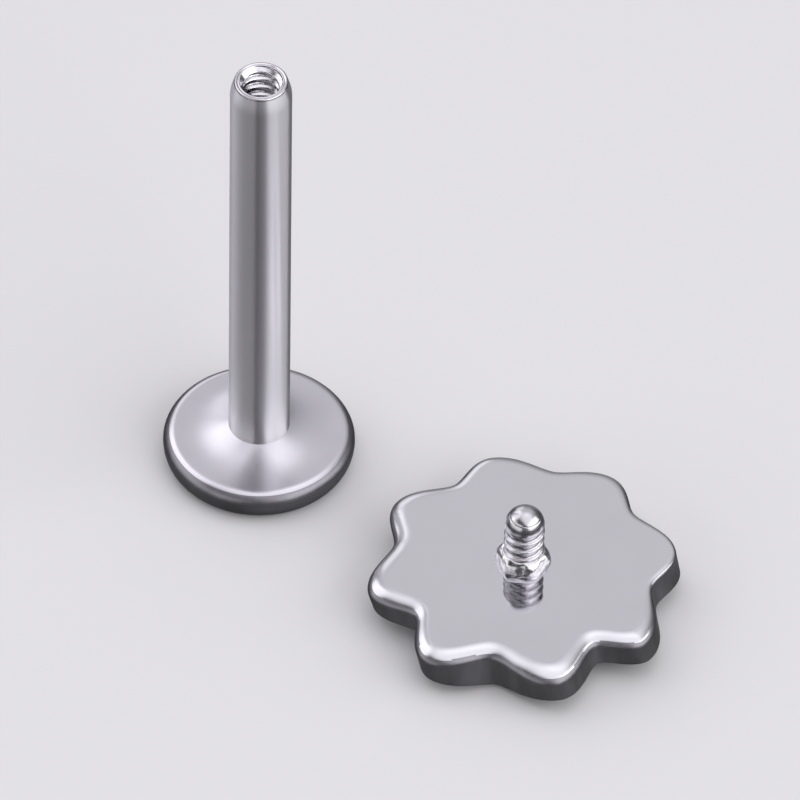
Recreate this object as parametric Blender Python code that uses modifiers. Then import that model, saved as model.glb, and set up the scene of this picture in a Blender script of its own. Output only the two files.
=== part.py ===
"""Internally threaded flat-back labret stud, taken apart.

The post stands on its flat back, with its threaded bore open at the top. The eight-petal top lies on its face
beside it, with its threaded pin up. Metres, +Z up, with the origin under the post's axis, on the surface.
"""

import math

import bmesh
import bpy

MM = 0.001

# Post: a straight tube with a blind threaded bore
STUD_HEIGHT = 10.66 * MM
POST_RADIUS = 0.6175 * MM
RIM_RADIUS = 0.525 * MM
RIM_ROUND = 0.035 * MM
TAPER_RADIUS = 0.540 * MM
TAPER_LENGTH = 0.40 * MM
COUNTERSINK_RADIUS = 0.455 * MM
BORE_RADIUS = 0.340 * MM
BORE_DEPTH = 3.2 * MM
DRILL_POINT = 0.2 * MM

# Flat back: a disc with a bullnose rim, a low crown and a solder fillet round the post
DISC_RADIUS = 1.935 * MM
DISC_RIM_REACH = 0.20 * MM
DISC_WIDEST_HEIGHT = 0.40 * MM
DISC_RIM_TOP = 0.66 * MM
CROWN_TOP = 0.845 * MM
FILLET_REACH = 0.32 * MM
FILLET_HEIGHT = 0.055 * MM

# Thread, shared by the bore and the pin
THREAD_PITCH = 0.225 * MM
GROOVE_MOUTH = 0.20 * MM
GROOVE_FLOOR = 0.04 * MM
BORE_GROOVE_RADIUS = 0.435 * MM
BORE_GROOVE_START = 0.15 * MM
BORE_GROOVE_TURNS = 8
PIN_GROOVE_RADIUS = 0.335 * MM
PIN_GROOVE_TURNS = 3
GROOVE_OVERRUN = 0.045 * MM
GROOVE_TO_COLLAR = 0.01 * MM

# Pin of the top, measured from the plate's polished back
PIN_RADIUS = 0.405 * MM
PIN_SHOULDER = 1.0 * MM
PIN_ROOT = 0.25 * MM
COLLAR_RADIUS = 0.545 * MM
COLLAR_HEIGHT = 0.28 * MM

# Plate of the top, and where its pin's axis stands from the post's
TOP_PLACE = (5.33 * MM, -3.82 * MM, 0.0)
PLATE_HEIGHT = 1.03 * MM
BACK_ROUND_REACH = 0.27 * MM
BACK_ROUND_DROP = 0.15 * MM
FACE_ROUND_REACH = 0.14 * MM
FACE_ROUND_RISE = 0.10 * MM
WALL_LEAN = 0.09 * MM
FACE_SHARES = (0.85, 0.7, 0.55, 0.4)
TIP_FULLNESS = 0.87
# Each petal: its tip's angle and reach, the next valley's angle and reach, and the lower edge's height at both.
# Angles are in degrees, the rest in millimetres.
PETALS = (
    (5.7, 3.08, 31.8, 2.61, 0.30, 0.30),
    (52.2, 2.98, 76.3, 2.59, 0.30, 0.30),
    (103.1, 2.97, 123.2, 2.56, 0.30, 0.30),
    (147.2, 3.06, 168.4, 2.64, 0.30, 0.30),
    (194.7, 3.18, 213.8, 2.61, 0.34, 0.30),
    (234.3, 3.30, 256.8, 2.66, 0.26, 0.04),
    (282.0, 3.30, 302.8, 2.66, 0.30, 0.32),
    (319.3, 3.26, 345.7, 2.68, 0.33, 0.32),
)

# Fineness of the round shapes. The grooves are turned by half a facet, so that their edges miss the tube's own.
TURNED_STEPS = 48
THREAD_STEPS = 24
OUTLINE_STEPS = 8
ROUND_STEPS = 5
CROWN_STEPS = 4
DOME_STEPS = 7
GROOVE_TURN = math.pi / TURNED_STEPS
WELD_DISTANCE = 1e-6
SMOOTH_BELOW = math.radians(35)

# Colour (linear), roughness
SATIN_STEEL = ((0.60, 0.59, 0.62), 0.32)
POLISHED_STEEL = ((0.66, 0.65, 0.68), 0.10)


def clear_scene():
    for obj in list(bpy.data.objects):
        bpy.data.objects.remove(obj, do_unlink=True)


def new_collection(name):
    collection = bpy.data.collections.new(name)
    bpy.context.scene.collection.children.link(collection)
    return collection


def metal(name, finish):
    """A bare metal with the given colour and roughness."""
    colour, roughness = finish
    material = bpy.data.materials.new(name)
    material.use_nodes = True
    shader = material.node_tree.nodes["Principled BSDF"]
    shader.inputs["Base Color"].default_value = (*colour, 1.0)
    shader.inputs["Metallic"].default_value = 1.0
    shader.inputs["Roughness"].default_value = roughness
    return material


def add_object(name, mesh, collection, parent=None):
    obj = bpy.data.objects.new(name, mesh)
    obj.parent = parent
    collection.objects.link(obj)
    return obj


def make_helper(obj):
    """Keeps a cutter or a joined shape out of the part itself."""
    obj.hide_render = True
    obj.display_type = "WIRE"


def arc(centre, reach, start, end, steps):
    """Points of an ellipse's arc in the (radius, height) plane, with its angles in degrees from the radius axis."""
    points = []
    for step in range(steps + 1):
        angle = math.radians(start + (end - start) * step / steps)
        points.append((centre[0] + reach[0] * math.cos(angle), centre[1] + reach[1] * math.sin(angle)))
    return points


def crown(radius):
    """Height of the flat back's crowned skin side."""
    rim = DISC_RADIUS - DISC_RIM_REACH
    return CROWN_TOP - (CROWN_TOP - DISC_RIM_TOP) * (radius / rim) ** 2


def foot(radius):
    """Height of the solder fillet, which rises over the crown towards the post."""
    share = (POST_RADIUS + FILLET_REACH - radius) / FILLET_REACH
    return crown(radius) + FILLET_HEIGHT * share**2


def post_profile():
    """(radius, height) from the bore's drill point up its wall, over the rim and down the outside to the axis."""
    floor = STUD_HEIGHT - BORE_DEPTH
    countersink = COUNTERSINK_RADIUS - BORE_RADIUS
    rim = DISC_RADIUS - DISC_RIM_REACH
    points = [(0.0, floor - DRILL_POINT), (BORE_RADIUS, floor)]
    points.append((BORE_RADIUS, STUD_HEIGHT - countersink))
    points.append((COUNTERSINK_RADIUS, STUD_HEIGHT))
    round_reach = (TAPER_RADIUS - RIM_RADIUS, RIM_ROUND)
    points += arc((RIM_RADIUS, STUD_HEIGHT - RIM_ROUND), round_reach, 90, 0, ROUND_STEPS)
    points.append((POST_RADIUS, STUD_HEIGHT - TAPER_LENGTH))
    for step in range(CROWN_STEPS + 1):
        radius = POST_RADIUS + FILLET_REACH * step / CROWN_STEPS
        points.append((radius, foot(radius)))
    fillet_end = POST_RADIUS + FILLET_REACH
    for step in range(1, CROWN_STEPS + 1):
        radius = fillet_end + (rim - fillet_end) * step / CROWN_STEPS
        points.append((radius, crown(radius)))
    upper_reach = (DISC_RIM_REACH, DISC_RIM_TOP - DISC_WIDEST_HEIGHT)
    lower_reach = (DISC_RIM_REACH, DISC_WIDEST_HEIGHT)
    points += arc((rim, DISC_WIDEST_HEIGHT), upper_reach, 90, 0, ROUND_STEPS)[1:]
    points += arc((rim, DISC_WIDEST_HEIGHT), lower_reach, 0, -90, ROUND_STEPS)[1:]
    points.append((0.0, 0.0))
    return points


def pin_profile():
    """(radius, height) from the pin's domed tip down to its root inside the plate."""
    points = arc((0.0, PIN_SHOULDER), (PIN_RADIUS, PIN_RADIUS), 90, 0, DOME_STEPS)
    collar_reach = (COLLAR_RADIUS - PIN_RADIUS, COLLAR_HEIGHT)
    points += arc((PIN_RADIUS, 0.0), collar_reach, 90, 0, ROUND_STEPS)
    points.append((COLLAR_RADIUS, -PIN_ROOT))
    points.append((0.0, -PIN_ROOT))
    return points


def add_screw(obj, steps, turns=1, pitch=0.0):
    """Turns a profile round Z, or winds it up a helix."""
    screw = obj.modifiers.new("Screw", "SCREW")
    screw.axis = "Z"
    screw.steps = steps
    screw.render_steps = steps
    screw.iterations = turns
    screw.screw_offset = pitch
    screw.use_merge_vertices = pitch == 0.0
    screw.merge_threshold = WELD_DISTANCE
    screw.use_smooth_shade = True


def turned(name, profile, collection, parent=None):
    """A solid turned from a profile that starts and ends on the axis."""
    mesh = bpy.data.meshes.new(name)
    edges = [(index, index + 1) for index in range(len(profile) - 1)]
    mesh.from_pydata([(radius, 0.0, height) for radius, height in profile], edges, [])
    obj = add_object(name, mesh, collection, parent)
    add_screw(obj, TURNED_STEPS)
    return obj


def closed_mesh(obj):
    """The object's evaluated mesh, with its open ends capped and its faces pointing out."""
    graph = bpy.context.evaluated_depsgraph_get()
    mesh = bpy.data.meshes.new_from_object(obj.evaluated_get(graph))
    shape = bmesh.new()
    shape.from_mesh(mesh)
    open_edges = [edge for edge in shape.edges if edge.is_boundary]
    bmesh.ops.holes_fill(shape, edges=open_edges)
    bmesh.ops.recalc_face_normals(shape, faces=shape.faces)
    shape.to_mesh(mesh)
    shape.free()
    return mesh


def thread_cutter(name, mouth_radius, floor_radius, start, turns, collection, parent=None):
    """A helical groove's closed solid: wide at its mouth, narrow at its floor, from height start upwards."""
    section = (
        (mouth_radius, start - GROOVE_MOUTH / 2),
        (mouth_radius, start + GROOVE_MOUTH / 2),
        (floor_radius, start + GROOVE_FLOOR / 2),
        (floor_radius, start - GROOVE_FLOOR / 2),
    )
    wire = bpy.data.meshes.new(name)
    edges = [(index, (index + 1) % len(section)) for index in range(len(section))]
    wire.from_pydata([(radius, 0.0, height) for radius, height in section], edges, [])
    guide = add_object(name + "_guide", wire, collection)
    add_screw(guide, THREAD_STEPS, turns, THREAD_PITCH)
    mesh = closed_mesh(guide)
    bpy.data.objects.remove(guide, do_unlink=True)
    cutter = add_object(name, mesh, collection, parent)
    cutter.rotation_euler.z = GROOVE_TURN
    make_helper(cutter)
    return cutter


def add_boolean(obj, operand, operation):
    boolean = obj.modifiers.new(operand.name, "BOOLEAN")
    boolean.operation = operation
    boolean.solver = "EXACT"
    boolean.object = operand


def make_post(parts, cutters):
    """Flat back, post and threaded bore, in one piece."""
    post = turned("labret_post", post_profile(), parts)
    start = STUD_HEIGHT + BORE_GROOVE_START - BORE_GROOVE_TURNS * THREAD_PITCH
    mouth = BORE_RADIUS - GROOVE_OVERRUN
    groove = thread_cutter("bore_groove", mouth, BORE_GROOVE_RADIUS, start, BORE_GROOVE_TURNS, cutters)
    add_boolean(post, groove, "DIFFERENCE")
    return post


def petal_stations():
    """(angle, reach, lower edge's height, is a tip) for every tip and valley in turn, in radians and metres."""
    stations = []
    for tip_angle, tip_reach, valley_angle, valley_reach, tip_edge, valley_edge in PETALS:
        stations.append((math.radians(tip_angle), tip_reach * MM, tip_edge * MM, True))
        stations.append((math.radians(valley_angle), valley_reach * MM, valley_edge * MM, False))
    first = stations[0]
    stations.append((first[0] + 2 * math.pi, *first[1:]))
    return stations


def petal_outline():
    """(x, y, lower edge's height) round the plate's wall, by cosine waves from each tip to the next valley."""
    outline = []
    stations = petal_stations()
    for here, there in zip(stations, stations[1:]):
        for step in range(OUTLINE_STEPS):
            share = step / OUTLINE_STEPS
            angle = here[0] + (there[0] - here[0]) * share
            fall = 0.5 - 0.5 * math.cos(math.pi * share)
            toward_tip = 1 - fall if here[3] else fall
            tip, valley = (here, there) if here[3] else (there, here)
            reach = valley[1] + (tip[1] - valley[1]) * toward_tip**TIP_FULLNESS
            edge = here[2] + (there[2] - here[2]) * fall
            outline.append((reach * math.cos(angle), reach * math.sin(angle), edge))
    return outline


def inset_outline(outline, inset):
    """The outline moved inwards by inset, square to itself."""
    moved = []
    for index, (x, y, edge) in enumerate(outline):
        after = outline[(index + 1) % len(outline)]
        before = outline[index - 1]
        along = (after[0] - before[0], after[1] - before[1])
        length = math.hypot(*along)
        moved.append((x - inset * along[1] / length, y + inset * along[0] / length, edge))
    return moved


def plate_rings():
    """The plate's sections from its back down to its face: each a list of (x, y, z)."""
    outline = petal_outline()
    rings = []
    back_round = (BACK_ROUND_REACH, BACK_ROUND_DROP)
    for inset, drop in arc(back_round, back_round, 270, 180, ROUND_STEPS):
        ring = inset_outline(outline, inset)
        rings.append([(x, y, PLATE_HEIGHT - drop) for x, y, _ in ring])
    face_round = (FACE_ROUND_REACH, FACE_ROUND_RISE)
    for inset, rise in arc(face_round, face_round, 180, 270, ROUND_STEPS - 2):
        ring = inset_outline(outline, inset)
        rings.append([(x + WALL_LEAN, y, edge + rise) for x, y, edge in ring])
    face = inset_outline(outline, FACE_ROUND_REACH)
    flat_share = FACE_SHARES[-1]
    for share in FACE_SHARES:
        rise = ((share - flat_share) / (1 - flat_share)) ** 2
        rings.append([(x * share + WALL_LEAN, y * share, edge * rise) for x, y, edge in face])
    return rings


def loft(name, rings):
    """A closed mesh through rings of equal count, with both ends capped."""
    shape = bmesh.new()
    loops = [[shape.verts.new(point) for point in ring] for ring in rings]
    for upper, lower in zip(loops, loops[1:]):
        for index in range(len(upper)):
            follow = (index + 1) % len(upper)
            shape.faces.new((upper[index], lower[index], lower[follow], upper[follow]))
    shape.faces.new(loops[0])
    shape.faces.new(reversed(loops[-1]))
    bmesh.ops.recalc_face_normals(shape, faces=shape.faces)
    mesh = bpy.data.meshes.new(name)
    shape.to_mesh(mesh)
    shape.free()
    mesh.shade_smooth()
    mesh.set_sharp_from_angle(angle=SMOOTH_BELOW)
    return mesh


def make_top(parts, cutters):
    """Petalled plate and threaded pin with its weld collar, in one piece, placed by an empty under the pin."""
    seat = add_object("top_seat", None, parts)
    seat.location = TOP_PLACE
    top = add_object("flower_top", loft("flower_top", plate_rings()), parts, seat)
    pin = turned("pin_blank", pin_profile(), cutters, seat)
    pin.location.z = PLATE_HEIGHT
    make_helper(pin)
    start = COLLAR_HEIGHT + GROOVE_MOUTH / 2 + GROOVE_TO_COLLAR
    mouth = PIN_RADIUS + GROOVE_OVERRUN
    groove = thread_cutter("pin_groove", mouth, PIN_GROOVE_RADIUS, start, PIN_GROOVE_TURNS, cutters, seat)
    groove.location.z = PLATE_HEIGHT
    add_boolean(top, pin, "UNION")
    add_boolean(top, groove, "DIFFERENCE")
    return top


def main():
    clear_scene()
    parts = new_collection("labret_stud")
    cutters = new_collection("cutters")
    post = make_post(parts, cutters)
    top = make_top(parts, cutters)
    post.data.materials.append(metal("satin_steel", SATIN_STEEL))
    top.data.materials.append(metal("polished_steel", POLISHED_STEEL))


main()
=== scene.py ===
"""Looks of an internally threaded flat-back labret stud, taken apart.

The post stands on its flat back with its threaded bore open, and the eight-petal top lies on its face beside it, with
its threaded pin up. Lengths are millimetres times MM, in metres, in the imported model's own frame.
"""

import logging
import math
from dataclasses import dataclass
from enum import Enum
from typing import Any, Callable, Dict, List, NamedTuple, Optional, Sequence, Tuple, Union

import bmesh
import bpy
from mathutils import Matrix, Vector, noise


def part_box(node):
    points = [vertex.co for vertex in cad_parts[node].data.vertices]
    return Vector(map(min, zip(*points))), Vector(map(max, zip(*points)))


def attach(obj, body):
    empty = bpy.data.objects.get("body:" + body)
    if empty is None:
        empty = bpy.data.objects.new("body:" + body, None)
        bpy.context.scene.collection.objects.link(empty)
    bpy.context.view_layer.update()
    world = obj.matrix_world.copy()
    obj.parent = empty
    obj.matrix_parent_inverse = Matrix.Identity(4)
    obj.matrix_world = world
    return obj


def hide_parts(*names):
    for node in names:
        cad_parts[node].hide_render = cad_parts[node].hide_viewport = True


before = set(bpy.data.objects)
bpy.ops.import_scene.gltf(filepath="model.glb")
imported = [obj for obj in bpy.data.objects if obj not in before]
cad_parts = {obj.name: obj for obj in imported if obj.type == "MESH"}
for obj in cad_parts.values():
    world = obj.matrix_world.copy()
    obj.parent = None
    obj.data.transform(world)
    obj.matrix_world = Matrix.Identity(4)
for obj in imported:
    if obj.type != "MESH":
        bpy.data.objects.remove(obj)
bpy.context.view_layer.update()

MM = 0.001
WELD_DISTANCE = 1e-7
SMOOTH_BELOW = math.radians(38)
TOP_PLACE = (5.33 * MM, -3.82 * MM, 0.0)
# Octaves of a finish's waves and of its marks
WAVE_DETAIL = 2.0
MARK_DETAIL = 3.0
# The colours of a Mix node, by the numbers of its sockets
MIX_FIRST, MIX_SECOND, MIX_RESULT = 6, 7, 2
QUARTER_TURN = 0.25

Point = Tuple[float, float]
Size = Tuple[float, float, float]
Socket = Union[float, Sequence[float], bpy.types.NodeSocket]

log = logging.getLogger("labret_stud")


class Slot(Enum):
    """The record's material slots."""

    SATIN = "satin_steel"
    POLISHED = "polished_steel"


class Body(Enum):
    """The record's bodies."""

    POST = "post"
    TOP = "top"


def linear(code: str) -> Tuple[float, float, float, float]:
    """Turns an sRGB hex colour to linear.

    Args:
        code: Six hex digits.

    Returns:
        Red, green, blue and an alpha of one.
    """
    channels = []
    for start in (0, 2, 4):
        value = int(code[start : start + 2], 16) / 255
        channels.append(value / 12.92 if value <= 0.04045 else ((value + 0.055) / 1.055) ** 2.4)
    return (channels[0], channels[1], channels[2], 1.0)


def per(spacing: float) -> float:
    """A texture's scale, in features a metre, from one feature's size in millimetres."""
    return 1.0 / (spacing * MM)


def add_node(
    tree: bpy.types.NodeTree, kind: str, inputs: Optional[Dict[Any, Socket]] = None, **settings: Any
) -> bpy.types.Node:
    """Adds a node with its settings and links.

    Args:
        tree: The tree that the node joins.
        kind: The node's type.
        inputs: For an input's name or number, a value or the output that feeds it.
        settings: The node's own properties.

    Returns:
        The new node.
    """
    node = tree.nodes.new(kind)
    for name, value in settings.items():
        setattr(node, name, value)
    for name, value in (inputs or {}).items():
        if isinstance(value, bpy.types.NodeSocket):
            tree.links.new(value, node.inputs[name])
        else:
            node.inputs[name].default_value = value
    return node


@dataclass(frozen=True)
class SteelFinish:
    """316L surgical steel, a slightly cool white metal, as one way of working its surface leaves it.

    Two noises raise or score the surface: a wide one for its waves and a fine one for its marks. Each has its feature
    size along X, Y and Z and its height in millimetres. The wide one also dims the colour in patches.
    """

    name: str
    colour: str
    dim_colour: str
    roughness: float
    roughness_swing: float
    wave_size: Size
    wave_height: float
    mark_size: Size
    mark_height: float
    anisotropy: float = 0.0

    def material(self) -> bpy.types.Material:
        """Builds the finish's material from its own coordinates, in metres.

        Returns:
            The new material.
        """
        made = bpy.data.materials.new(self.name)
        made.use_nodes = True
        tree = made.node_tree
        tree.nodes.clear()
        place = add_node(tree, "ShaderNodeTexCoord").outputs["Object"]
        wave = self.pattern(tree, place, self.wave_size, WAVE_DETAIL)
        mark = self.pattern(tree, place, self.mark_size, MARK_DETAIL)
        spread = {
            "Value": mark,
            "To Min": self.roughness - self.roughness_swing,
            "To Max": self.roughness + self.roughness_swing,
        }
        roughness = add_node(tree, "ShaderNodeMapRange", spread).outputs["Result"]
        waved = {"Height": wave, "Distance": self.wave_height * MM, "Strength": 1.0}
        waves = add_node(tree, "ShaderNodeBump", waved).outputs["Normal"]
        marked = {"Height": mark, "Distance": self.mark_height * MM, "Strength": 1.0, "Normal": waves}
        marks = add_node(tree, "ShaderNodeBump", marked).outputs["Normal"]
        tones = {0: wave, MIX_FIRST: linear(self.dim_colour), MIX_SECOND: linear(self.colour)}
        tone = add_node(tree, "ShaderNodeMix", tones, data_type="RGBA").outputs[MIX_RESULT]
        surface: Dict[Any, Socket] = {
            "Base Color": tone,
            "Metallic": 1.0,
            "Roughness": roughness,
            "Normal": marks,
        }
        if self.anisotropy:
            round_axis = add_node(tree, "ShaderNodeTangent", direction_type="RADIAL", axis="Z")
            surface["Tangent"] = round_axis.outputs["Tangent"]
            surface["Anisotropic"] = self.anisotropy
            surface["Anisotropic Rotation"] = QUARTER_TURN
        shader = add_node(tree, "ShaderNodeBsdfPrincipled", surface)
        add_node(tree, "ShaderNodeOutputMaterial", {"Surface": shader.outputs["BSDF"]})
        return made

    def pattern(
        self, tree: bpy.types.NodeTree, place: bpy.types.NodeSocket, size: Size, detail: float
    ) -> bpy.types.NodeSocket:
        """Adds a noise with the given feature size.

        Args:
            tree: The material's tree.
            place: Object coordinates in metres.
            size: Feature size along X, Y and Z in millimetres.
            detail: How many octaves the noise has.

        Returns:
            The noise's value, from 0 to 1.
        """
        scaled = add_node(tree, "ShaderNodeMapping", {"Vector": place, "Scale": tuple(per(one) for one in size)})
        inputs = {"Vector": scaled.outputs["Vector"], "Scale": 1.0, "Detail": detail}
        return add_node(tree, "ShaderNodeTexNoise", inputs).outputs["Fac"]


# Centreless-ground shaft, lightly buffed: rings round it spread a light up and down its length, not round it
GROUND_SHAFT = SteelFinish(
    "ground_316l_shaft", "E4E2E8", "DAD8DE", 0.41, 0.03, (3.0, 3.0, 5.0), 0.001, (1.2, 1.2, 0.03), 0.0001, 1.0
)
# Wheel-buffed flat back: bright, with a soft haze that blurs what it mirrors
BUFFED_DISC = SteelFinish(
    "buffed_316l_flat_back", "CDCBD1", "C1BFC5", 0.25, 0.04, (0.9, 0.9, 0.9), 0.0016, (0.05, 0.05, 0.05), 0.0001
)
# Shoulder where the buffing wheel's reach ends: rough, and given painted shade, a darker steel colour on the faces that
# tilt this way, so lamps mirrored in it stay grey
DULL_SHADED_SHOULDER = SteelFinish(
    "dull_shaded_316l_shoulder", "96949A", "747278", 0.40, 0.06, (0.4, 0.4, 0.4), 0.003, (0.10, 0.10, 0.10), 0.0005
)
# Side of the flat back's rim, as the lathe left it: duller, with fine rings round it
TURNED_RIM = SteelFinish(
    "turned_316l_rim", "D8D6DC", "8E8C92", 0.33, 0.05, (0.8, 0.8, 0.8), 0.003, (1.0, 1.0, 0.04), 0.0006
)
# Lapped and buffed back of the top: a mirror with slight waves
LAPPED_PLATE = SteelFinish(
    "lapped_316l_plate", "D2D1D5", "CBCACE", 0.07, 0.02, (1.6, 1.6, 1.6), 0.0010, (0.04, 0.04, 0.04), 0.00002
)
# Edge of the top's back, rounded by hand on a soft wheel: bright, but hazier than the lapped back
BUFFED_EDGE = SteelFinish(
    "buffed_316l_edge", "D2D1D5", "C6C5C9", 0.23, 0.04, (0.7, 0.7, 0.7), 0.006, (0.12, 0.12, 0.12), 0.0001
)
# Wire-cut and tumbled wall: faint upright tool marks and uneven dull patches
TUMBLED_WALL = SteelFinish(
    "tumbled_316l_wall", "F0EEF3", "626066", 0.34, 0.05, (0.6, 0.6, 1.6), 0.006, (0.07, 0.07, 1.5), 0.0025
)
# Ground thread, left bright from the tool, and the ring round the bore's mouth, where it leaves a soft grey gleam
CUT_THREAD = SteelFinish(
    "cut_316l_thread", "CECCD1", "B5B3B8", 0.24, 0.08, (0.25, 0.25, 0.12), 0.004, (0.05, 0.05, 0.02), 0.0010
)
# Tapped thread of the bore: a whiter steel colour than the pin's, painted light that stands in for light bouncing in it
# more than once
TAPPED_BORE = SteelFinish(
    "tapped_316l_bore", "E4E2E6", "BDBBC0", 0.15, 0.05, (0.25, 0.25, 0.12), 0.003, (0.05, 0.05, 0.02), 0.0008
)
# Laser-welded bead: bright frozen metal, lumpy and pitted
WELD_BEAD = SteelFinish(
    "welded_316l_bead", "F0EEF2", "A09EA2", 0.20, 0.08, (0.12, 0.12, 0.09), 0.009, (0.05, 0.05, 0.05), 0.0024
)


def deselect_all() -> None:
    """Leaves object mode with nothing selected."""
    if bpy.context.mode != "OBJECT":
        bpy.ops.object.mode_set(mode="OBJECT")
    bpy.ops.object.select_all(action="DESELECT")


def start_edit(obj: bpy.types.Object) -> None:
    """Opens the object in edit mode with all of it selected.

    Args:
        obj: The object to open.
    """
    deselect_all()
    obj.select_set(True)
    bpy.context.view_layer.objects.active = obj
    bpy.ops.object.mode_set(mode="EDIT")
    bpy.ops.mesh.select_mode(type="VERT")
    bpy.ops.mesh.select_all(action="SELECT")


def close_edit(obj: bpy.types.Object, name: str) -> None:
    """Closes edit mode with doubles merged, faces pointing out, smooth shading and the piece's name.

    Args:
        obj: The object in edit mode.
        name: The name that it and its mesh take.
    """
    bpy.ops.mesh.select_all(action="SELECT")
    bpy.ops.mesh.remove_doubles(threshold=WELD_DISTANCE)
    bpy.ops.mesh.normals_make_consistent(inside=False)
    bpy.ops.object.mode_set(mode="OBJECT")
    bpy.ops.object.shade_smooth_by_angle(angle=SMOOTH_BELOW)
    obj.name = name
    obj.data.name = name


def spin_profile(name: str, profile: Sequence[Point], steps: int) -> bpy.types.Object:
    """Draws a profile by extruding one corner from point to point, and spins it round Z.

    Args:
        name: The piece's name.
        profile: Radius and height of each point in metres, from the axis to the axis.
        steps: How many facets go round.

    Returns:
        The turned piece, in object mode.
    """
    deselect_all()
    radius, height = profile[0]
    bpy.ops.mesh.primitive_plane_add(size=MM, location=(radius, 0.0, height))
    bpy.ops.object.transform_apply(location=True, rotation=False, scale=False)
    obj = bpy.context.active_object
    start_edit(obj)
    bpy.ops.mesh.merge(type="CENTER")
    for here, there in zip(profile, profile[1:]):
        step = (there[0] - here[0], 0.0, there[1] - here[1])
        bpy.ops.mesh.extrude_vertices_move(TRANSFORM_OT_translate={"value": step})
    bpy.ops.mesh.select_all(action="SELECT")
    bpy.ops.mesh.spin(steps=steps, angle=math.tau, center=(0.0, 0.0, 0.0), axis=(0.0, 0.0, 1.0))
    close_edit(obj, name)
    return obj


def arc(centre: Point, reach: Point, start: float, end: float, steps: int) -> List[Point]:
    """Points along an ellipse's arc.

    Args:
        centre: Its centre's radius and height.
        reach: Its reach outwards and upwards.
        start: First angle in degrees from the outward direction.
        end: Last angle in degrees.
        steps: How many steps it takes.

    Returns:
        The points, both ends included.
    """
    points = []
    for step in range(steps + 1):
        angle = math.radians(start + (end - start) * step / steps)
        points.append((centre[0] + reach[0] * math.cos(angle), centre[1] + reach[1] * math.sin(angle)))
    return points


def ramp(value: float, low: float, high: float) -> float:
    """Smooth step from 0 at low to 1 at high."""
    share = min(1.0, max(0.0, (value - low) / (high - low)))
    return share * share * (3 - 2 * share)


def dress(
    obj: bpy.types.Object, finishes: Sequence[SteelFinish], choose: Callable[[Vector, Vector], SteelFinish]
) -> None:
    """Gives each face its finish.

    Args:
        obj: The piece.
        finishes: The finishes in the order of its material slots.
        choose: A face's finish, from its centre and its normal.
    """
    obj.data.materials.clear()
    numbers = {}
    for finish in finishes:
        known = bpy.data.materials.get(finish.name)
        obj.data.materials.append(known or finish.material())
        numbers[finish.name] = len(numbers)
    for face in obj.data.polygons:
        face.material_index = numbers[choose(face.center, face.normal).name]


def hand_over(obj: bpy.types.Object, body: Body, node: str) -> None:
    """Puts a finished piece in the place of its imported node.

    Args:
        obj: The piece.
        body: The body that it moves with.
        node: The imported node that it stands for.
    """
    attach(obj, body.value)
    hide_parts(node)


@dataclass(frozen=True)
class Thread:
    """A right-hand groove wound round Z, with straight flanks.

    A turn is a full circle. Groove turns are counted from start, which is the groove's height on the +X side.
    root_flat and crest_flat are the shares of the pitch that are level, and the groove fades in and out over
    fade_turns at its two ends.
    """

    pitch: float
    start: float
    turns: float
    root_flat: float
    crest_flat: float
    fade_turns: float

    def depth(self, x: float, y: float, height: float) -> float:
        """How deep the groove is here.

        Args:
            x: Place across, from the axis.
            y: Place along, from the axis.
            height: Place up.

        Returns:
            0 on the crest to 1 at the groove's root.
        """
        angle = math.atan2(y, x) / math.tau % 1.0
        wound = (height - self.start) / self.pitch - angle
        groove = round(wound)
        away = abs(wound - groove) * 2
        along = groove + angle
        share = 1 - min(1.0, max(0.0, (away - self.root_flat) / (1 - self.crest_flat - self.root_flat)))
        fade_in = ramp(along, 0.0, self.fade_turns)
        fade_out = 1 - ramp(along, self.turns - self.fade_turns, self.turns)
        return share * fade_in * fade_out

    def cut(self, obj: bpy.types.Object, root_radius: float, crest_radius: float, span: Point) -> None:
        """Cuts the groove into the round surface between two heights.

        A bore is opened out to the groove, and a pin is narrowed to it.

        Args:
            obj: A piece turned round Z.
            root_radius: Radius at the groove's root.
            crest_radius: Radius at the crests.
            span: Lowest and highest place that the groove may reach.
        """
        opens = root_radius > crest_radius
        for vertex in obj.data.vertices:
            x, y, height = vertex.co
            radius = math.hypot(x, y)
            if not span[0] < height < span[1] or radius == 0.0:
                continue
            if opens and radius > root_radius:
                continue
            groove = crest_radius + (root_radius - crest_radius) * self.depth(x, y, height)
            wanted = max(radius, groove) if opens else min(radius, groove)
            vertex.co.x *= wanted / radius
            vertex.co.y *= wanted / radius


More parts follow.
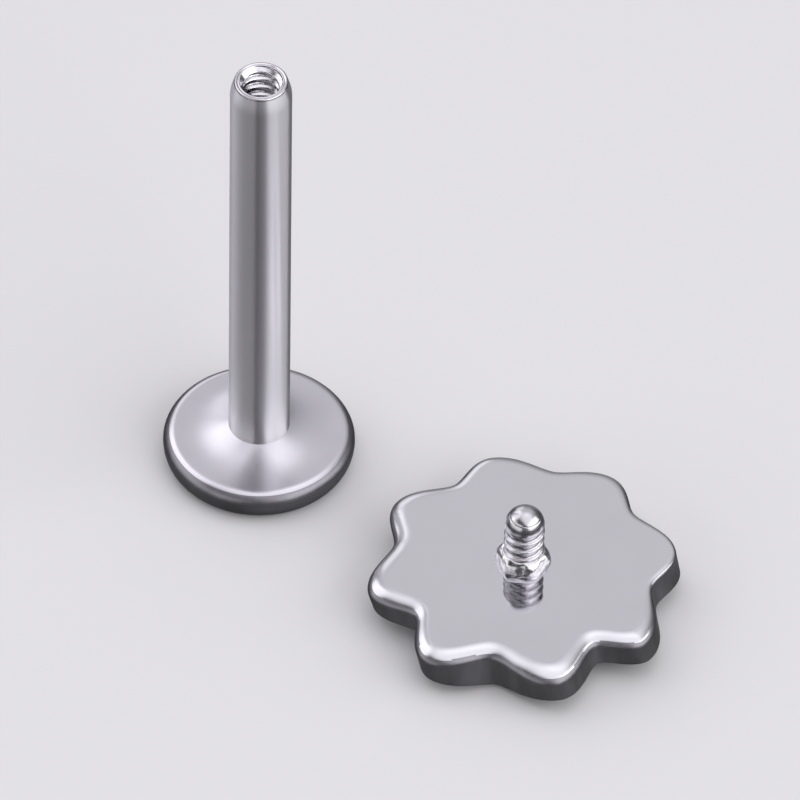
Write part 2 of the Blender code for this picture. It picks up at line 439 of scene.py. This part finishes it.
@dataclass
class LabretPost:
    """Flat back, ground shaft and threaded bore, turned in one piece round Z.

    end_face runs over the ring round the bore's mouth: each point's radius and its drop below the open end, in
    millimetres. The rim is buffed where a face's normal rises above buffed_above, and its side, where it is under
    side_below, is as the lathe left it. The groove starts run_out_turns above the tapped part's bottom and runs
    turns_past_end past the open end, so it doesn't fade there.
    """

    height: float
    disc_radius: float
    shaft_radius: float = 0.6175 * MM
    rim_round: float = 0.040 * MM
    taper_radius: float = 0.540 * MM
    taper_length: float = 0.40 * MM
    end_face: Tuple[Point, ...] = (
        (0.430, 0.022),
        (0.438, 0.010),
        (0.448, 0.007),
        (0.459, 0.013),
        (0.471, 0.015),
        (0.485, 0.006),
        (0.500, 0.000),
    )
    bore_radius: float = 0.350 * MM
    groove_radius: float = 0.440 * MM
    bore_depth: float = 3.2 * MM
    drill_point: float = 0.2 * MM
    disc_rim_reach: float = 0.27 * MM
    disc_widest_height: float = 0.40 * MM
    disc_rim_top: float = 0.66 * MM
    foot_rise: float = 0.215 * MM
    foot_power: float = 2.0
    buffed_above: float = 0.84
    side_below: float = 0.35
    pitch: float = 0.225 * MM
    thread_turns: int = 9
    run_out_turns: float = 0.7
    turns_past_end: int = 2
    rows_per_pitch: int = 20
    countersink_steps: int = 8
    lip_steps: int = 8
    taper_steps: int = 12
    foot_steps: int = 36
    round_steps: int = 14
    steps: int = 160

    def foot(self, radius: float) -> float:
        """Height of the flat back's skin side, which sweeps up towards the shaft like a trumpet's bell."""
        rim = self.disc_radius - self.disc_rim_reach
        return self.disc_rim_top + self.foot_rise * ((rim - radius) / (rim - self.shaft_radius)) ** self.foot_power

    def profile(self) -> List[Point]:
        """Draws half of the post's section.

        Returns:
            Radius and height from the drill point up the bore, over the rim and down to the underside's middle.
        """
        floor = self.height - self.bore_depth
        face = [(radius * MM, self.height - drop * MM) for radius, drop in self.end_face]
        countersink = face[0][0] - self.bore_radius
        rim = self.disc_radius - self.disc_rim_reach
        points = [(0.0, floor - self.drill_point), (self.bore_radius, floor)]
        row = self.pitch / self.rows_per_pitch
        top = face[0][1] - countersink
        bottom = self.height - self.thread_turns * self.pitch
        rows = round((top - bottom) / row)
        points += [(self.bore_radius, bottom + (top - bottom) * step / rows) for step in range(rows + 1)]
        for step in range(1, self.countersink_steps):
            out = countersink * step / self.countersink_steps
            points.append((self.bore_radius + out, top + out))
        points += face
        lip = face[-1][0]
        round_reach = (self.taper_radius - lip, self.rim_round)
        points += arc((lip, self.height - self.rim_round), round_reach, 90, 0, self.lip_steps)[1:]
        for step in range(1, self.taper_steps + 1):
            share = step / self.taper_steps
            radius = self.taper_radius + (self.shaft_radius - self.taper_radius) * math.sin(math.pi / 2 * share)
            points.append((radius, self.height - self.rim_round - (self.taper_length - self.rim_round) * share))
        points.append((self.shaft_radius, self.height - self.taper_length - self.rim_round))
        for step in range(self.foot_steps + 1):
            radius = self.shaft_radius + (rim - self.shaft_radius) * step / self.foot_steps
            points.append((radius, self.foot(radius)))
        upper_reach = (self.disc_rim_reach, self.disc_rim_top - self.disc_widest_height)
        lower_reach = (self.disc_rim_reach, self.disc_widest_height)
        points += arc((rim, self.disc_widest_height), upper_reach, 90, 0, self.round_steps)[1:]
        points += arc((rim, self.disc_widest_height), lower_reach, 0, -90, self.round_steps)[1:]
        points.append((rim - self.rim_round, 0.0))
        points.append((0.0, 0.0))
        return points

    def finish_of(self, centre: Vector, normal: Vector) -> SteelFinish:
        """Chooses a face's finish by its place and the way it faces.

        Args:
            centre: The face's centre.
            normal: The face's normal.

        Returns:
            The finish of the flat back, its rim's shoulder with its painted shade or its side, the bore with its
            painted light, the ring round its mouth or the shaft.
        """
        radius = math.hypot(centre.x, centre.y)
        inside = centre.x * normal.x + centre.y * normal.y < 0
        if centre.z < self.disc_rim_top + self.foot_rise and not inside:
            if radius < self.disc_radius - self.disc_rim_reach or normal.z > self.buffed_above:
                return BUFFED_DISC
            # Rim faces that tilt between level and upright get the shoulder's painted shade, a darker steel colour
            return DULL_SHADED_SHOULDER if normal.z > self.side_below else TURNED_RIM
        if inside or radius < self.groove_radius:
            # The bore's finish has painted light: a whiter colour than the pin's thread
            return TAPPED_BORE
        return CUT_THREAD if centre.z > self.height - self.rim_round else GROUND_SHAFT

    def build(self) -> bpy.types.Object:
        """Models, threads and dresses the post.

        Returns:
            The finished piece.
        """
        post = spin_profile("threaded_post", self.profile(), self.steps)
        start = self.height - (self.thread_turns - self.run_out_turns) * self.pitch
        thread = Thread(
            pitch=self.pitch,
            start=start,
            turns=self.thread_turns + self.turns_past_end,
            root_flat=0.23,
            crest_flat=0.25,
            fade_turns=0.3,
        )
        thread.cut(post, self.groove_radius, self.bore_radius, (start, self.height - self.end_face[0][1] * MM))
        finishes = (GROUND_SHAFT, BUFFED_DISC, TAPPED_BORE, DULL_SHADED_SHOULDER, TURNED_RIM, CUT_THREAD)
        dress(post, finishes, self.finish_of)
        hand_over(post, Body.POST, "labret_post")
        return post


class Station(NamedTuple):
    """A petal's tip or a valley between petals: its angle in degrees, the rest in millimetres.

    Edge is the height of the wall's foot, and rounding how far in the hand-buffed rounding of the back's edge reaches.
    """

    angle: float
    reach: float
    edge: float
    rounding: float


STATIONS = (
    Station(5.7, 3.08, 0.30, 0.13),
    Station(31.8, 2.61, 0.30, 0.20),
    Station(52.2, 2.98, 0.30, 0.27),
    Station(76.3, 2.59, 0.30, 0.25),
    Station(103.1, 2.97, 0.30, 0.30),
    Station(123.2, 2.56, 0.30, 0.33),
    Station(147.2, 3.06, 0.30, 0.42),
    Station(168.4, 2.64, 0.30, 0.42),
    Station(194.7, 3.18, 0.34, 0.46),
    Station(213.8, 2.61, 0.30, 0.38),
    Station(234.3, 3.30, 0.26, 0.44),
    Station(256.8, 2.66, 0.04, 0.40),
    Station(282.0, 3.30, 0.30, 0.50),
    Station(302.8, 2.66, 0.32, 0.40),
    Station(319.3, 3.26, 0.33, 0.42),
    Station(345.7, 2.68, 0.32, 0.16),
)


class Rim(NamedTuple):
    """A point on the plate's outline: its place, its lower edge's height and its back edge's rounding."""

    x: float
    y: float
    edge: float
    rounding: float


@dataclass
class FlowerPlate:
    """Eight-petal plate, lying on its face: lapped back up, hand-buffed edge, tumbled wall.

    drop_share is how deep the back's rounding is, as a share of how far in it reaches. The face is flat out to
    face_flat of its reach. Sections lie at back_shares and face_shares of the outline, and at wall_shares of the wall's
    depth. A face's finish goes by how far its normal rises.
    """

    place: Vector
    height: float = 1.03 * MM
    drop_share: float = 0.55
    face_round_reach: float = 0.14 * MM
    face_round_rise: float = 0.10 * MM
    wall_lean: float = 0.09 * MM
    back_crown: float = 0.012 * MM
    tip_fullness: float = 0.87
    lapped_above: float = 0.995
    buffed_above: float = 0.80
    wall_below: float = 0.30
    face_flat: float = 0.4
    outline_steps: int = 26
    back_round_steps: int = 18
    face_round_steps: int = 8
    back_shares: Tuple[float, ...] = (0.03, 0.1, 0.2, 0.35, 0.5, 0.65, 0.8, 0.9, 0.96, 0.99)
    wall_shares: Tuple[float, ...] = (0.04, 0.2, 0.4, 0.6, 0.8, 0.96)
    face_shares: Tuple[float, ...] = (0.97, 0.85, 0.7, 0.55, 0.4, 0.2, 0.05)

    def outline(self) -> List[Rim]:
        """Works out the wall's outline, by cosine waves from each tip to the next valley and on to the next tip.

        Returns:
            Its points in order, seen from above.
        """
        closed = STATIONS + (STATIONS[0]._replace(angle=STATIONS[0].angle + 360.0),)
        points = []
        for here, there in zip(closed, closed[1:]):
            tip, valley = sorted((here, there), key=lambda one: -one.reach)
            for step in range(self.outline_steps):
                share = step / self.outline_steps
                angle = math.radians(here.angle + (there.angle - here.angle) * share)
                fall = 0.5 - 0.5 * math.cos(math.pi * share)
                toward_tip = 1 - fall if here is tip else fall
                reach = (valley.reach + (tip.reach - valley.reach) * toward_tip**self.tip_fullness) * MM
                edge = (here.edge + (there.edge - here.edge) * fall) * MM
                rounding = (here.rounding + (there.rounding - here.rounding) * fall) * MM
                points.append(Rim(reach * math.cos(angle), reach * math.sin(angle), edge, rounding))
        return points

    def inset(self, outline: Sequence[Rim], depths: Sequence[float]) -> List[Rim]:
        """Moves the outline inwards, between square to itself and towards the middle, so sharp tips don't cross.

        Args:
            outline: The points to move.
            depths: How far each one moves.

        Returns:
            The moved points.
        """
        moved = []
        for index, (here, depth) in enumerate(zip(outline, depths)):
            after = outline[(index + 1) % len(outline)]
            before = outline[index - 1]
            square = Vector((before.y - after.y, after.x - before.x)).normalized()
            inwards = (square - Vector((here.x, here.y)).normalized()).normalized()
            moved.append(here._replace(x=here.x + depth * inwards.x, y=here.y + depth * inwards.y))
        return moved

    def rings(self) -> List[List[Vector]]:
        """Works out the plate's sections from its back's middle over the wall to its face's middle.

        Returns:
            Each section's points, in the outline's order.
        """
        outline = self.outline()
        rings = []
        flat = self.inset(outline, [one.rounding for one in outline])
        for share in self.back_shares:
            top = self.height - self.back_crown * share**2
            rings.append([Vector((one.x * share, one.y * share, top)) for one in flat])
        low = self.height - self.back_crown
        for out, up in arc((0.0, 0.0), (1.0, 1.0), 90, 0, self.back_round_steps):
            ring = self.inset(outline, [one.rounding * (1 - out) for one in outline])
            drop = self.drop_share * (1 - up)
            rings.append([Vector((one.x, one.y, low - drop * one.rounding)) for one in ring])
        for share in self.wall_shares:
            ring = []
            for one in outline:
                top = low - self.drop_share * one.rounding
                bottom = one.edge + self.face_round_rise
                height = top + (bottom - top) * share
                ring.append(Vector((one.x + self.wall_lean * share, one.y, height)))
            rings.append(ring)
        face_round = (self.face_round_reach, self.face_round_rise)
        for out, up in arc((0.0, 0.0), face_round, 0, -90, self.face_round_steps):
            ring = self.inset(outline, [self.face_round_reach - out] * len(outline))
            height = self.face_round_rise + up
            rings.append([Vector((one.x + self.wall_lean, one.y, one.edge + height)) for one in ring])
        face = self.inset(outline, [self.face_round_reach] * len(outline))
        for share in self.face_shares:
            rise = max(0.0, (share - self.face_flat) / (1 - self.face_flat)) ** 2
            rings.append([Vector((one.x * share + self.wall_lean, one.y * share, one.edge * rise)) for one in face])
        return rings

    def finish_of(self, centre: Vector, normal: Vector) -> SteelFinish:
        """Chooses a face's finish by the way it faces.

        Args:
            centre: The face's centre, which makes no difference here.
            normal: The face's normal.

        Returns:
            The finish of the back, its edge, the shoulder under it with its painted shade, or the wall and the face.
        """
        if normal.z > self.lapped_above:
            return LAPPED_PLATE
        if normal.z > self.buffed_above:
            return BUFFED_EDGE
        # Edge faces that tilt between level and upright get the shoulder's painted shade, a darker steel colour
        return DULL_SHADED_SHOULDER if normal.z > self.wall_below else TUMBLED_WALL

    def build(self) -> bpy.types.Object:
        """Extrudes the plate ring by ring, caps it and dresses it.

        Returns:
            The finished piece.
        """
        rings = self.rings()
        deselect_all()
        bpy.ops.mesh.primitive_circle_add(vertices=len(rings[0]), radius=self.height)
        plate = bpy.context.active_object
        turn = plate.data.attributes.new("turn", "INT", "POINT")
        turn.data.foreach_set("value", list(range(len(rings[0]))))
        start_edit(plate)
        for number, ring in enumerate(rings):
            if number:
                bpy.ops.mesh.extrude_region_move()
            shape = bmesh.from_edit_mesh(plate.data)
            order = shape.verts.layers.int["turn"]
            for vertex in shape.verts:
                if vertex.select:
                    vertex.co = ring[vertex[order]] + self.place
            bmesh.update_edit_mesh(plate.data)
        bpy.ops.mesh.edge_face_add()
        bpy.ops.mesh.select_all(action="DESELECT")
        bpy.ops.mesh.select_non_manifold()
        bpy.ops.mesh.edge_face_add()
        close_edit(plate, "flower_plate")
        dress(plate, (LAPPED_PLATE, BUFFED_EDGE, DULL_SHADED_SHOULDER, TUMBLED_WALL), self.finish_of)
        hand_over(plate, Body.TOP, "flower_top")
        return plate


@dataclass
class ThreadedPin:
    """Threaded pin of the top, turned round its own axis and then stood on the plate.

    The dome's crease starts at crease_angle from level and spans crease_span, both in degrees.
    """

    foot: Vector
    radius: float = 0.405 * MM
    root_radius: float = 0.343 * MM
    shoulder: float = 1.0 * MM
    crease_angle: float = 40.0
    crease_span: float = 3.0
    crease_out: float = 0.004 * MM
    crease_down: float = 0.012 * MM
    sunk: float = 0.20 * MM
    pitch: float = 0.225 * MM
    thread_start: float = 0.28 * MM
    thread_turns: float = 3.6
    rows_per_pitch: int = 20
    lean: float = math.radians(1.5)
    tip_steps: int = 14
    side_steps: int = 12
    steps: int = 128

    def profile(self) -> List[Point]:
        """Draws half of the pin's section.

        Returns:
            Radius and height from the domed tip down to the root inside the plate.
        """
        reach = (self.radius, self.radius)
        points = arc((0.0, self.shoulder), reach, 90, self.crease_angle, self.tip_steps)
        crease = points[-1]
        points.append((crease[0] + self.crease_out, crease[1] - self.crease_down))
        points += arc((0.0, self.shoulder), reach, self.crease_angle - self.crease_span, 0, self.side_steps)
        row = self.pitch / self.rows_per_pitch
        rows = round(self.shoulder / row)
        points += [(self.radius, self.shoulder * (1 - step / rows)) for step in range(1, rows + 1)]
        points.append((self.radius, -self.sunk))
        points.append((0.0, -self.sunk))
        return points

    def build(self) -> bpy.types.Object:
        """Turns, threads, leans and dresses the pin.

        Returns:
            The finished piece.
        """
        pin = spin_profile("threaded_pin", self.profile(), self.steps)
        thread = Thread(
            pitch=self.pitch,
            start=self.thread_start,
            turns=self.thread_turns,
            root_flat=0.60,
            crest_flat=0.14,
            fade_turns=0.35,
        )
        thread.cut(pin, self.root_radius, self.radius, (0.0, self.shoulder + self.radius))
        pin.data.transform(Matrix.Translation(self.foot) @ Matrix.Rotation(self.lean, 4, "Y"))
        dress(pin, (CUT_THREAD,), lambda centre, normal: CUT_THREAD)
        hand_over(pin, Body.TOP, "flower_top")
        return pin


@dataclass
class WeldCollar:
    """Bead of laser welds that holds the pin in the plate: a turned ring, swollen at each weld.

    The welds' wave runs from 0 between two welds to 1 on one, and the ring keeps its turned radius at even_level.
    """

    foot: Vector
    inner_radius: float = 0.36 * MM
    outer_radius: float = 0.550 * MM
    height: float = 0.31 * MM
    sunk: float = 0.06 * MM
    welds: int = 6
    first_weld: float = math.radians(-64)
    swell: float = 0.036 * MM
    even_level: float = 0.6
    crumble: float = 0.016 * MM
    crumble_size: float = 0.18 * MM
    bead_steps: int = 26
    steps: int = 128

    def profile(self) -> List[Point]:
        """Draws half of the bead's section.

        Returns:
            Radius and height over the bead, from its inside above the plate to its inside below it.
        """
        middle = (self.inner_radius, 0.0)
        reach = (self.outer_radius - self.inner_radius, self.height)
        over = arc(middle, reach, 90, 0, self.bead_steps)
        return [(0.0, self.height)] + over + [(self.outer_radius, -self.sunk), (0.0, -self.sunk)]

    def build(self) -> bpy.types.Object:
        """Turns, swells and dresses the bead.

        Returns:
            The finished piece.
        """
        bead = spin_profile("weld_collar", self.profile(), self.steps)
        for vertex in bead.data.vertices:
            x, y, height = vertex.co
            radius = math.hypot(x, y)
            if radius <= self.inner_radius:
                continue
            angle = math.atan2(y, x)
            weld = math.cos((angle - self.first_weld) * self.welds / 2) ** 2
            rough = noise.noise(vertex.co / self.crumble_size)
            wanted = radius + self.swell * (weld - self.even_level) + self.crumble * rough
            vertex.co.x *= wanted / radius
            vertex.co.y *= wanted / radius
            vertex.co.z += self.crumble * rough if height > 0 else 0.0
        bead.data.transform(Matrix.Translation(self.foot))
        dress(bead, (WELD_BEAD,), lambda centre, normal: WELD_BEAD)
        hand_over(bead, Body.TOP, "flower_top")
        return bead


def toward(azimuth: float, elevation: float) -> Vector:
    """Turns two angles to a direction.

    Args:
        azimuth: Degrees from the camera's side towards +X.
        elevation: Degrees above the floor.

    Returns:
        The direction, as a vector of length one.
    """
    turn, rise = math.radians(azimuth), math.radians(elevation)
    level = math.cos(rise)
    return Vector((level * math.sin(turn), -level * math.cos(turn), math.sin(rise)))


@dataclass(frozen=True)
class Softbox:
    """A soft area light, by where it stands seen from the stud.

    Azimuth is degrees from the camera's side towards +X, elevation degrees above the floor, and width and height the
    degrees that it spans. Radiance is how bright it looks.
    """

    name: str
    azimuth: float
    elevation: float
    width: float
    height: float
    radiance: float
    colour: str = "FFFFFF"
    distance: float = 0.6

    def place(self, target: Vector) -> None:
        """Adds the light, turned to the stud.

        Args:
            target: The point that it faces.
        """
        light = bpy.data.lights.new(self.name, "AREA")
        light.shape = "RECTANGLE"
        light.size = 2 * self.distance * math.tan(math.radians(self.width / 2))
        light.size_y = 2 * self.distance * math.tan(math.radians(self.height / 2))
        light.energy = self.radiance * math.pi * light.size * light.size_y
        light.color = linear(self.colour)[:3]
        lamp = bpy.data.objects.new(self.name, light)
        bpy.context.scene.collection.objects.link(lamp)
        away = toward(self.azimuth, self.elevation)
        lamp.location = target + away * self.distance
        lamp.rotation_euler = away.to_track_quat("Z", "Y").to_euler()
        lamp.visible_camera = False


@dataclass(frozen=True)
class Patch:
    """A patch of the room that is lighter or darker than the rest, by its direction seen from the stud.

    Azimuth and elevation are as for a softbox. It is full within inner degrees of its middle and gone at outer.
    """

    azimuth: float
    elevation: float
    inner: float
    outer: float
    radiance: float

    def shade(self, tree: bpy.types.NodeTree, way: bpy.types.NodeSocket) -> bpy.types.NodeSocket:
        """Adds the nodes that draw the patch.

        Args:
            tree: The room's tree.
            way: The direction looked in.

        Returns:
            The patch's radiance in that direction.
        """
        axis = toward(self.azimuth, self.elevation)
        near = add_node(tree, "ShaderNodeVectorMath", {0: way, 1: axis}, operation="DOT_PRODUCT").outputs["Value"]
        fade = {
            "Value": near,
            "From Min": math.cos(math.radians(self.outer)),
            "From Max": math.cos(math.radians(self.inner)),
            "To Max": self.radiance,
        }
        return add_node(tree, "ShaderNodeMapRange", fade, interpolation_type="SMOOTHSTEP").outputs["Result"]


@dataclass
class Studio:
    """Plain pale floor, soft lights, dim room and the camera at the photograph's viewing angle.

    room_stops are the room's radiance by height, from 0 straight down to 1 straight up. The patches add to it, and no
    direction gets darker than darkest. Sizes and distances are metres, and the sensor is in millimetres.
    """

    floor_colour: str = "D0CFD0"
    floor_roughness: float = 0.6
    floor_size: float = 1.2
    room_colour: str = "FBFAFF"
    room_stops: Tuple[Point, ...] = (
        (0.0, 0.06),
        (0.14, 0.10),
        (0.34, 0.055),
        (0.50, 0.08),
        (0.70, 0.20),
        (0.86, 0.30),
    )
    patches: Tuple[Patch, ...] = (
        Patch(172.0, 50.0, 14.0, 44.0, 0.55),
        Patch(45.0, 74.0, 20.0, 46.0, 1.12),
        Patch(-163.0, 19.0, 8.0, 16.0, 0.95),
        Patch(-140.0, 26.0, 8.0, 25.0, 0.25),
        Patch(-118.0, 40.0, 18.0, 33.0, 1.35),
        Patch(-42.0, 42.0, 14.0, 40.0, -0.24),
        Patch(60.0, -38.0, 20.0, 55.0, 0.04),
        Patch(175.0, -8.0, 12.0, 32.0, 0.24),
        Patch(-30.0, 44.0, 8.0, 25.0, -0.55),
    )
    darkest: float = 0.03
    camera_elevation: float = math.radians(46.3)
    camera_roll: float = math.radians(0.76)
    camera_distance: float = 0.4
    camera_target: Vector = Vector((2.830 * MM, 1.508 * MM, 0.0))
    pixels_per_mm: float = 49.46
    picture_pixels: int = 800
    sensor: float = 36.0
    camera_clip: Point = (0.01, 10.0)
    lights: Tuple[Softbox, ...] = (
        Softbox("right_softbox", 63.0, 27.0, 80.0, 42.0, 2.1),
        Softbox("left_softbox", -62.0, 19.0, 88.0, 36.0, 1.1),
    )

    def set_floor(self) -> None:
        """Lays the floor, which the steel doesn't mirror, so the steel's lower sides stay dark."""
        deselect_all()
        bpy.ops.mesh.primitive_plane_add(size=self.floor_size)
        floor = bpy.context.active_object
        floor.name = "floor"
        paper = bpy.data.materials.new("matt_paper_floor")
        paper.use_nodes = True
        shader = paper.node_tree.nodes["Principled BSDF"]
        shader.inputs["Base Color"].default_value = linear(self.floor_colour)
        shader.inputs["Roughness"].default_value = self.floor_roughness
        floor.data.materials.append(paper)
        floor.visible_glossy = False

    def set_room(self) -> None:
        """Fills the room with light: a plain tent by height, with lighter and darker patches."""
        room = bpy.data.worlds.new("light_tent")
        room.use_nodes = True
        tree = room.node_tree
        way = add_node(tree, "ShaderNodeTexCoord").outputs["Generated"]
        up = add_node(tree, "ShaderNodeSeparateXYZ", {"Vector": way}).outputs["Z"]
        share = add_node(tree, "ShaderNodeMapRange", {"Value": up, "From Min": -1.0}).outputs["Result"]
        tent = add_node(tree, "ShaderNodeValToRGB", {"Fac": share})
        stops = tent.color_ramp.elements
        for number, (height, radiance) in enumerate(self.room_stops):
            stop = stops[number] if number < len(stops) else stops.new(height)
            stop.position = height
            stop.color = (radiance, radiance, radiance, 1.0)
        light = tent.outputs["Color"]
        for patch in self.patches:
            light = add_node(tree, "ShaderNodeMath", {0: light, 1: patch.shade(tree, way)}, operation="ADD").outputs[0]
        light = add_node(tree, "ShaderNodeMath", {0: light, 1: self.darkest}, operation="MAXIMUM").outputs[0]
        back = tree.nodes["Background"]
        back.inputs["Color"].default_value = linear(self.room_colour)
        tree.links.new(light, back.inputs["Strength"])
        bpy.context.scene.world = room

    def set_camera(self) -> None:
        """Places a long-lens camera so that a millimetre at the target spans its pixels in the photograph."""
        data = bpy.data.cameras.new("camera")
        data.sensor_width = self.sensor
        data.lens = self.pixels_per_mm / MM * self.camera_distance / self.picture_pixels * self.sensor
        data.clip_start, data.clip_end = self.camera_clip
        camera = bpy.data.objects.new("camera", data)
        bpy.context.scene.collection.objects.link(camera)
        rise, level = math.sin(self.camera_elevation), math.cos(self.camera_elevation)
        back = Vector((0.0, -level, rise))
        right = Vector((1.0, 0.0, 0.0))
        up = Vector((0.0, rise, level))
        turn = Matrix((right, up, back)).transposed()
        roll = Matrix.Rotation(self.camera_roll, 3, "Z")
        place = Matrix.Translation(self.camera_target + back * self.camera_distance)
        camera.matrix_world = place @ (turn @ roll).to_4x4()
        bpy.context.scene.camera = camera

    def build(self) -> None:
        """Sets floor, room, lights and camera."""
        self.set_floor()
        self.set_room()
        for light in self.lights:
            light.place(self.camera_target)
        self.set_camera()
        bpy.context.scene.view_settings.view_transform = "Standard"


def main() -> None:
    """Builds the post, the top's three pieces and the studio, reports each piece and keeps the two boxes."""
    logging.basicConfig(level=logging.INFO, format="%(name)s %(message)s")
    post_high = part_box("labret_post")[1]
    post = LabretPost(height=post_high.z, disc_radius=post_high.x)
    plate = FlowerPlate(place=Vector(TOP_PLACE))
    pin_foot = plate.place + Vector((0.0, 0.0, plate.height))
    for part in (post, plate, ThreadedPin(foot=pin_foot), WeldCollar(foot=pin_foot)):
        piece = part.build()
        log.info("%s: %d faces", piece.name, len(piece.data.polygons))
    Studio().build()


if __name__ == "__main__":
    main()
